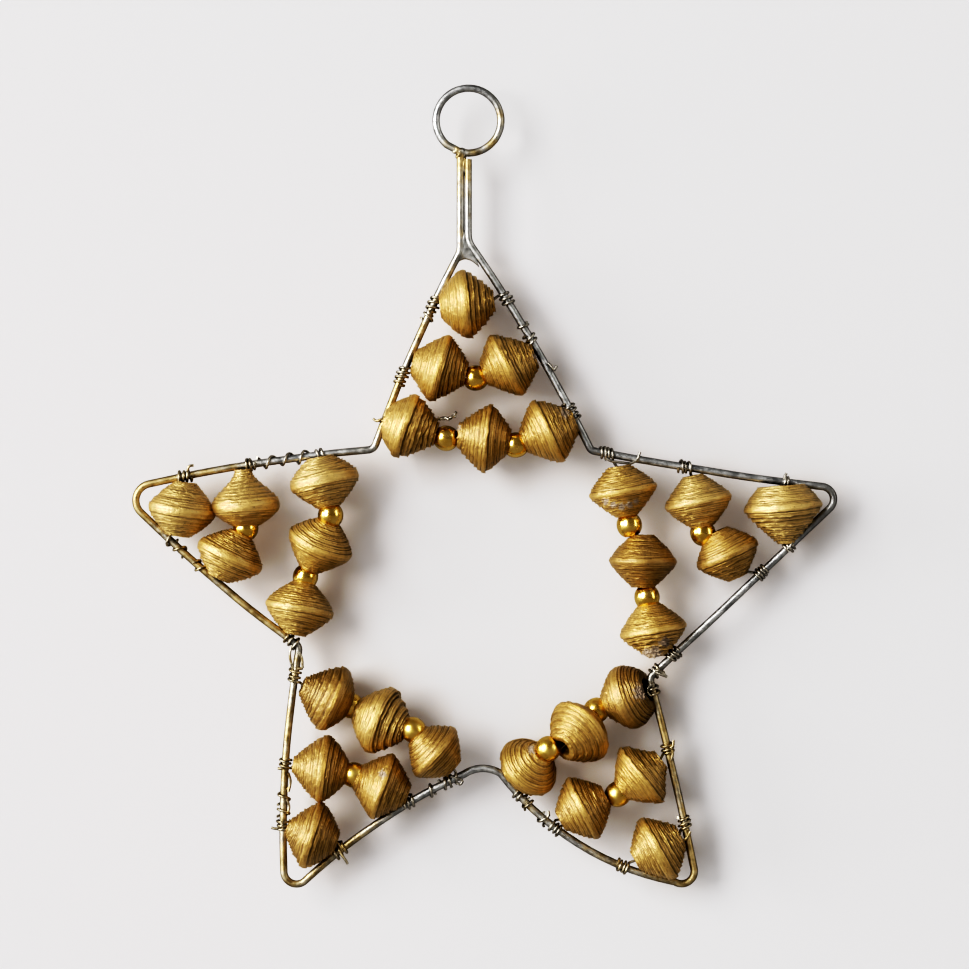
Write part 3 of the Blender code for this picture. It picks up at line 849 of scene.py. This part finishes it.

# places where the wire is painted darker, at bends, on the ring and on the stem, where it paints
# the shade between the two close strands: x, z and reach in mm, and strength
darkenedSpots = [
    (52.5, -52.5, 2.6, 0.9), (49.5, -56.5, 4, 0.5), (33, -110, 2.2, 0.5), (-27, -109.5, 2, 0.4),
    (-23.8, -74.0, 2, 0.5), (24.6, -78.4, 2.5, 0.6), (3.3, 3.4, 2.6, 0.4), (-3.6, 2.6, 1.6, 0.3),
    (-0.6, -16.5, 1.6, 0.35), (-0.7, -20.5, 1.6, 0.4), (17.5, -46.5, 2.2, 0.6), (8, -29, 2.5, 0.4),
    (-0.6, -9.5, 2.6, 0.35), (-0.6, -14.0, 2.6, 0.4), (12, -38, 2.5, 0.15), (5, -23, 2, 0.3),
]

# places of the brassy film: x, z and reach in mm, and strength
giltSpots = [
    (-46, -53, 7, 0.6), (-38, -62, 10, 0.5), (-30, -70, 9, 0.55), (-37, -49.6, 7, 0.5),
    (-24, -78, 6, 0.4), (-25.5, -90, 14, 0.5), (-26, -106, 10, 0.5), (-18, -103, 8, 0.5),
    (-6, -31, 8, 0.4), (-11, -40, 7, 0.6), (28, -88, 12, 0.5), (31, -104, 10, 0.55),
    (20, -106, 8, 0.35), (8, -97, 6, 0.3), (-1.5, -5.5, 1.6, 0.6), (-2, -4.2, 1.5, 0.5),
    (4.6, 0.4, 2.2, 0.4), (3.6, -3.2, 2, 0.45), (0.6, -4.7, 1.8, 0.5), (-2.6, -3.9, 1.4, 0.35),
    (-0.2, -6, 1.4, 0.6), (-3, -20.5, 4, 0.25),
]


# middle, half sizes in mm and how lumpy
solderLumps = {
    "braze": ((-1.05, 0, -4.75), (0.78, 0.62, 0.85), 0.35),
    "brazeRun": ((-0.62, 0, -6.3), (0.34, 0.42, 1.5), 0.30),
    "brazeEdge": ((-1.75, 0, -4.2), (0.6, 0.58, 0.5), 0.30),
}

# the web that the solder drew between the strands where they part: x and z in mm
solderWeb = dict(
    thickness=0.66,
    rounding=0.24,
    outline=[(-0.6, -15.4), (-0.2, -16.8), (0.35, -18.0), (1.15, -19.6), (1.55, -20.9),
             (0.85, -20.2), (0.2, -19.8), (-0.55, -19.65), (-1.25, -19.9), (-1.95, -20.6),
             (-2.55, -21.7), (-2.1, -20.2), (-1.45, -18.8), (-1.0, -17.2)],
)


def meltLump(name):
    middle, halfSizes, lumpiness = solderLumps[name]
    clearSelection()
    bpy.ops.mesh.primitive_ico_sphere_add(subdivisions=4, radius=mm, location=(0, 0, 0))
    lump = bpy.context.object
    lump.name = name
    for vertex in lump.data.vertices:
        swell = 1 + lumpiness * noise.noise(vertex.co / mm * 1.6 + Vector(middle))
        place = Vector([vertex.co[axis] * halfSizes[axis] * swell for axis in range(3)])
        vertex.co = place + Vector(middle) * mm
    return lump


def drawWeb():
    clearSelection()
    sheet = bpy.data.meshes.new("solder web")
    half = Vector((0, solderWeb["thickness"] / 2, 0)) * mm
    points = [flat(place) + half for place in solderWeb["outline"]]
    sheet.from_pydata(points, [], [range(len(points))])
    web = putInScene("solder web", sheet)
    pick(web)
    startEditing()
    bpy.ops.mesh.extrude_region_move(TRANSFORM_OT_translate={"value": half * -2})
    bpy.ops.mesh.select_all(action="SELECT")
    bpy.ops.mesh.normals_make_consistent(inside=False)
    bpy.ops.mesh.bevel(offset=solderWeb["rounding"] * mm, segments=3, affect="EDGES")
    stopEditing()
    return web


def bendFrame():
    wire = drawWire("starFrameWire", [frameRoute], frameWire)
    lumps = [meltLump(name) for name in solderLumps] + [drawWeb()]
    pick(wire)
    for lump in lumps:
        lump.select_set(True)
    bpy.ops.object.join()
    bpy.ops.object.shade_smooth_by_angle(angle=crease)
    store(wire, "gilt", filmAt(meshPoints(wire.data), giltSpots))
    store(wire, "darkened", filmAt(meshPoints(wire.data), darkenedSpots))
    dress(wire, "star_frame_wire", frameSteelFinish)


bendFrame()
print("frame bent")


# binding wires

binding = dict(
    thickness=0.39,      # mm
    roundness=2,
    perTurn=18,          # points in a turn
    hug=0.06,            # the gap to the frame, mm
    pitch=1.08,
    slip=0.10,           # how far a turn lies off its place, mm
    slack=0.07,          # how far it stands off the frame, mm
    thread=0.46,         # how far the wire runs straight in a bead, of the bead's length
    gilt=0.8,            # how much of the frame's brassy film it has
)

# sides: the two sides of the star that are bound, clockwise; rows: the coil at each end of a row
# as x, z, turns and length along the side; more: the other coils, with the side first; strays:
# short loose ends as x, z and depth to the viewer
bindingWires = {
    "top": dict(
        sides=(9, 0),
        rows=[((-4.7, -26.2, 3.3, 2.2), (5.2, -25.3, 2.6, 1.7)),
              ((-9.6, -36.2, 4.2, 2.6), (9.0, -30.8, 2.2, 1.4)),
              ((-12.6, -42.6, 1.3, 0.8), (14.7, -41.2, 4.2, 2.5))],
        more=[(9, -5.5, -28.0, 1.4, 1.0), (0, 8.0, -28.9, 1.0, 0.3)],
        strays=[
            [(-4.32, -42.18, 0.1), (-3.7, -42.3, 0.4), (-3.1, -42.25, 0.2), (-2.5, -42.1, 0.5),
             (-2.0, -41.75, 0.3), (-1.75, -41.35, 0.5)],
            [(-4.1, -42.4, 0.5), (-3.4, -42.1, 0.2), (-2.8, -42.35, 0.5), (-2.2, -41.95, 0.2),
             (-1.8, -41.95, 0.3)],
            [(-11.8, -42.0, 0.55), (-12.4, -42.4, 0.7), (-13.0, -42.6, 0.6), (-13.5, -42.3, 0.5)],
            [(11.3, -34.4, 0.6), (11.8, -35.0, 0.75), (12.1, -35.4, 0.7), (12.5, -34.8, 0.6)]]),
    "right": dict(
        sides=(1, 2),
        rows=[((45.2, -51.0, 2.2, 1.0), (45.3, -60.2, 2.3, 1.1)),
              ((30.6, -49.0, 3.2, 1.6), (41.3, -63.9, 3.4, 1.5)),
              ((19.6, -47.1, 3.6, 1.7), (29.0, -75.4, 3.2, 1.5))],
        more=[(2, 26.6, -78.0, 2.6, 1.4)],
        strays=[
            [(19.5, -47.9, 0.6), (20.3, -48.3, 0.7), (21.8, -48.5, 0.65), (23.0, -48.6, 0.7),
             (23.9, -48.0, 0.6), (24.3, -47.0, 0.5)],
            [(45.2, -51.4, 0.6), (44.7, -50.7, 0.8), (45.0, -50.0, 0.7)],
            [(26.4, -77.9, 0.6), (27.3, -78.1, 0.8), (28.0, -78.8, 0.6)],
            [(44.9, -60.8, 0.6), (45.4, -60.5, 0.8), (45.7, -59.9, 0.9), (45.3, -59.6, 0.8)]]),
    "bottom_right": dict(
        sides=(3, 4),
        rows=[((30.4, -99.5, 3.0, 1.7), (21.8, -105.7, 3.2, 1.5)),
              ((28.2, -89.0, 2.6, 1.2), (12.4, -100.3, 2.6, 1.5)),
              ((26.1, -80.6, 2.4, 1.6), (6.9, -96.0, 2.2, 1.4))],
        more=[(4, 10.8, -98.8, 1.6, 1.2), (4, 8.3, -96.9, 1.6, 0.9)],
        strays=[
            [(26.2, -79.8, 0.6), (25.5, -80.3, 0.8), (25.3, -81.0, 0.8), (25.9, -81.6, 0.6)],
            [(26.4, -78.1, 0.6), (27.3, -78.5, 0.8), (28.1, -78.8, 0.7)],
            [(28.3, -89.1, 0.6), (28.9, -88.6, 0.8), (29.0, -87.8, 0.7)],
            [(28.6, -89.0, 0.5), (28.9, -89.7, 0.6), (28.7, -90.7, 0.5)],
            [(31.4, -100.7, 0.6), (31.0, -101.5, 0.75), (30.1, -102.2, 0.6)],
            [(10.7, -98.9, 0.6), (11.3, -98.5, 0.8), (11.3, -97.8, 0.7)]]),
    "bottom_left": dict(
        sides=(5, 6),
        rows=[((-17.9, -104.0, 2.8, 1.9), (-26.6, -99.9, 2.6, 1.3)),
              ((-8.7, -96.3, 2.3, 1.4), (-26.0, -91.0, 2.2, 1.2)),
              ((-3.0, -93.2, 3.0, 2.4), (-24.2, -78.6, 3.2, 2.0))],
        more=[(6, -26.3, -95.8, 1.6, 2.0), (6, -26.3, -98.2, 1.0, 1.0),
              (5, -5.5, -94.5, 1.2, 0.8)],
        strays=[
            [(-24.2, -75.2, 0.6), (-23.6, -76.2, 0.6), (-23.5, -77.6, 0.5)],
            [(-25.5, -92.4, 0.6), (-25.2, -93.7, 0.55), (-25.5, -95.1, 0.6)],
            [(-25.7, -96.1, 0.6), (-25.4, -97.2, 0.55), (-25.6, -98.2, 0.6)],
            [(-26.0, -91.5, 0.6), (-26.4, -91.8, 0.7), (-27.0, -91.8, 0.6)],
            [(-26.6, -100.0, 0.6), (-27.2, -100.3, 0.7), (-27.9, -100.2, 0.6)],
            [(-18.2, -103.7, 0.6), (-17.5, -104.6, 0.8), (-17.1, -105.3, 0.7)],
            [(-17.8, -103.6, 0.6), (-18.1, -102.9, 0.8), (-18.6, -102.3, 0.7)],
            [(-2.5, -92.9, 0.6), (-1.6, -93.2, 0.8), (-0.9, -93.5, 0.7), (-1.1, -94.0, 0.7),
             (-1.6, -93.9, 0.6)]]),
    "left": dict(
        sides=(7, 8),
        rows=[((-42.0, -59.5, 1.1, 1.2), (-40.3, -50.1, 3.2, 1.8)),
              ((-38.4, -63.3, 1.3, 1.6), (-31.0, -48.4, 2.3, 1.2)),
              ((-25.0, -73.8, 3.0, 2.2), (-21.1, -47.3, 1.6, 0.9))],
        more=[(7, -40.8, -60.9, 1.1, 1.6), (8, -26.0, -48.0, 3.4, 7.4)],
        strays=[
            [(-25.0, -74.4, 0.6), (-25.3, -75.8, 0.5), (-24.9, -77.8, 0.4)],
            [(-39.8, -49.6, 0.6), (-39.5, -49.0, 0.8), (-38.9, -48.9, 0.7)]]),
}


def lengthsAlong(line):
    lengths = [0.0]
    for start, end in zip(line, line[1:]):
        lengths.append(lengths[-1] + (end - start).length)
    return lengths


sideLengths = [lengthsAlong(line) for line in starSides]


def pointAlong(side, distance):
    line, lengths = starSides[side], sideLengths[side]
    distance = min(max(distance, 0.0), lengths[-1])
    index = 0
    while index < len(line) - 2 and lengths[index + 1] < distance:
        index += 1
    direction = (line[index + 1] - line[index]).normalized()
    return line[index] + direction * (distance - lengths[index]), direction


def nearestAlong(side, place):
    found = []
    for start, end, length in zip(starSides[side], starSides[side][1:], sideLengths[side]):
        span = end - start
        share = min(max((place - start).dot(span) / span.length_squared, 0.0), 1.0)
        found.append(((start + span * share - place).length, length + span.length * share))
    return min(found)[1]


def bendThrough(knots):
    # a smooth line through a few points
    ends = [knots[0] * 2 - knots[1], *knots, knots[-1] * 2 - knots[-2]]
    line = [knots[0]]
    for before, start, stop, after in zip(ends, ends[1:], ends[2:], ends[3:]):
        handles = start + (stop - before) / 6, stop - (after - start) / 6
        line += interpolate_bezier(start, *handles, stop, 6)[1:]
    return line


def windRound(side, armMiddle, middle, turns, spread, firstAngle, rng):
    # points of a coil wound by hand; an angle of 0 faces into the arm, a quarter turn the viewer
    steps = max(4, round(turns * binding["perTurn"]))
    reach = (frameWire["thickness"] + binding["thickness"]) / 2 + binding["hug"]
    length = spread * binding["pitch"] * mm
    sway = rng.normal(0, 0.05, 3)
    points = []
    for step in range(steps + 1):
        share = step / steps
        angle = firstAngle + share * turns * 2 * pi
        slip = sway[0] * sin(angle * 0.5 + sway[2] * 40)
        slip += binding["slip"] * sin(angle + sway[1] * 30)
        place, direction = pointAlong(side, middle + length * (share - 0.5) + slip * mm)
        inward = Vector((direction.z, 0, -direction.x))
        if inward.dot(armMiddle - place) < 0:
            inward = -inward
        loose = reach + binding["slack"] * sin(angle * 0.37 + sway[2] * 70)
        points.append(place + (inward * cos(angle) + front * sin(angle)) * loose * mm)
    return points


def wireRow(arm, row, armMiddle, rng):
    # the wire's way through one row and round the frame at both its ends
    names = [name for name in paperBeads if name.startswith(f"{arm}_{row + 1}")]
    balls = [name for name in goldBeads if name.startswith(f"{arm}_{row + 1}")]
    thread = []
    for index, name in enumerate(names):
        middle, axis = beadAxis("paper_bead_" + name)
        reach = axis * (usualBead | paperBeads[name])["length"] * binding["thread"] * mm
        thread += [middle - reach, middle + reach]
        if index < len(balls):
            thread.append(beadAxis("gold_bead_" + balls[index])[0])
    coils = []
    for end, (x, z, turns, spread) in enumerate(bindingWires[arm]["rows"][row]):
        side = bindingWires[arm]["sides"][end]
        middle = nearestAlong(side, flat((x, z)))
        if middle < nearestAlong(side, thread[-end]):
            spread = -spread
        coils.append(windRound(side, armMiddle, middle, turns, spread, rng.normal(0, 0.2), rng))
    return list(reversed(coils[0])) + thread + coils[1]


def bindArm(arm, number):
    rng = np.random.default_rng(700 + number)
    middles = [beadAxis(f"paper_bead_{arm}_{name}")[0] for name in ("1", "2a", "2b", "3b")]
    armMiddle = sum(middles, Vector()) / len(middles)
    lines = [wireRow(arm, row, armMiddle, rng) for row in range(3)]
    for side, x, z, turns, spread in bindingWires[arm]["more"]:
        middle = nearestAlong(side, flat((x, z)))
        lines.append(windRound(side, armMiddle, middle, turns, spread, rng.uniform(2.6, 3.6), rng))
    for stray in bindingWires[arm]["strays"]:
        lines.append(bendThrough([Vector((x, -depth, z)) * mm for x, z, depth in stray]))
    wire = drawWire("bindingWire_" + arm, lines, binding)
    gilt = filmAt(meshPoints(wire.data), giltSpots) * binding["gilt"]
    store(wire, "gilt", gilt)
    store(wire, "darkened", gilt * 0)
    dress(wire, "binding_wire_" + arm, bindingSteelFinish)


for number, arm in enumerate(bindingWires):
    bindArm(arm, number)
print("beads bound on")


# board, floor, lights and camera

# in metres
studio = dict(
    boardDepth=0.0057,
    floorHeight=-0.17,
    width=5.0,
    key=((-1.58, -1.80, 0.62), (1.0, 1.7), 53.0),    # place, size and power
    side=((-3.2, -0.9, 0.1), (1.5, 2.0), 66.0),
    card=((1.9, -1.1, 0.5), (0.5, 1.6), 8.0),
    back=((0.5, 0.9, 0.5), (0.7, 0.7), 2.6),
    ambient=0.03, mirrored=0.17,
    lens=100.0,
    sensor=36.0,
    frameWidth=0.1374,
    aim=(0.00227, 0.0, -0.0516),
    contrast=[(0.015, 0.0003), (0.04, 0.005), (0.09, 0.030), (0.16, 0.105), (0.26, 0.275),
              (0.42, 0.52), (0.6, 0.72), (0.8, 0.84)],
)


def layPlane(name, turn, place, finish):
    # a wide sheet, turned about the X axis by so many degrees
    clearSelection()
    bpy.ops.mesh.primitive_plane_add(size=studio["width"], location=(0, 0, 0))
    sheet = bpy.context.object
    sheet.name = name
    startEditing()
    bpy.ops.transform.rotate(value=radians(turn), orient_axis="X", center_override=(0, 0, 0))
    bpy.ops.transform.translate(value=place)
    stopEditing()
    sheet.data.materials.append(finish)


def buildStage():
    # the floor runs on behind the board, which is let through from there
    floor = studio["floorHeight"]
    middle = floor + studio["width"] / 2
    layPlane("board", -90, (0, studio["boardDepth"], middle), paleBoardFinish)
    layPlane("floor", 0, (0, 0, floor), paleFloorFinish)


def addLight(name, tint):
    light = bpy.data.lights.new(name, "AREA")
    light.shape = "RECTANGLE"
    place, (light.size, light.size_y), light.energy = studio[name]
    light.color = tint
    lamp = putInScene(name + " softbox", light)
    lamp.location = place
    aim = Vector(studio["aim"]) - lamp.location
    lamp.rotation_euler = aim.to_track_quat("-Z", "Y").to_euler()
    lamp.visible_camera = False
    return lamp


def lightStudio():
    for name in ("key", "side", "back"):
        addLight(name, (1, 1, 1))
    addLight("card", (1, 0.97, 0.92)).visible_diffuse = False
    world = bpy.data.worlds.new("soft room light")
    bpy.context.scene.world = world
    room = Recipe(world)
    seen = room.add("ShaderNodeBackground", None, {"Color": colour(234, 232, 231)})
    felt = room.add("ShaderNodeBackground", None, {
        "Color": (1.0, 0.98, 0.96, 1), "Strength": studio["ambient"]})
    mirrored = room.add("ShaderNodeBackground", None, {
        "Color": (1.0, 0.98, 0.95, 1), "Strength": studio["mirrored"]})
    glossy = room.add("ShaderNodeLightPath", output="Is Glossy Ray")
    direct = room.add("ShaderNodeLightPath", output="Is Camera Ray")
    inside = room.between(glossy, felt, mirrored)
    room.finish(room.between(direct, inside, seen), "ShaderNodeOutputWorld")


def setCamera():
    lens = bpy.data.cameras.new("camera")
    lens.lens = studio["lens"]
    lens.sensor_width = studio["sensor"]
    camera = putInScene("camera", lens)
    distance = studio["frameWidth"] * studio["lens"] / studio["sensor"]
    camera.location = Vector(studio["aim"]) + front * distance
    camera.rotation_euler = (radians(90), 0, 0)
    bpy.context.scene.camera = camera
    develop = bpy.context.scene.view_settings
    develop.view_transform = "Standard"
    develop.use_curve_mapping = True
    contrast = develop.curve_mapping.curves[3]
    for level, shown in studio["contrast"]:
        contrast.points.new(level, shown)
    develop.curve_mapping.update()


buildStage()
lightStudio()
setCamera()
print("studio set")
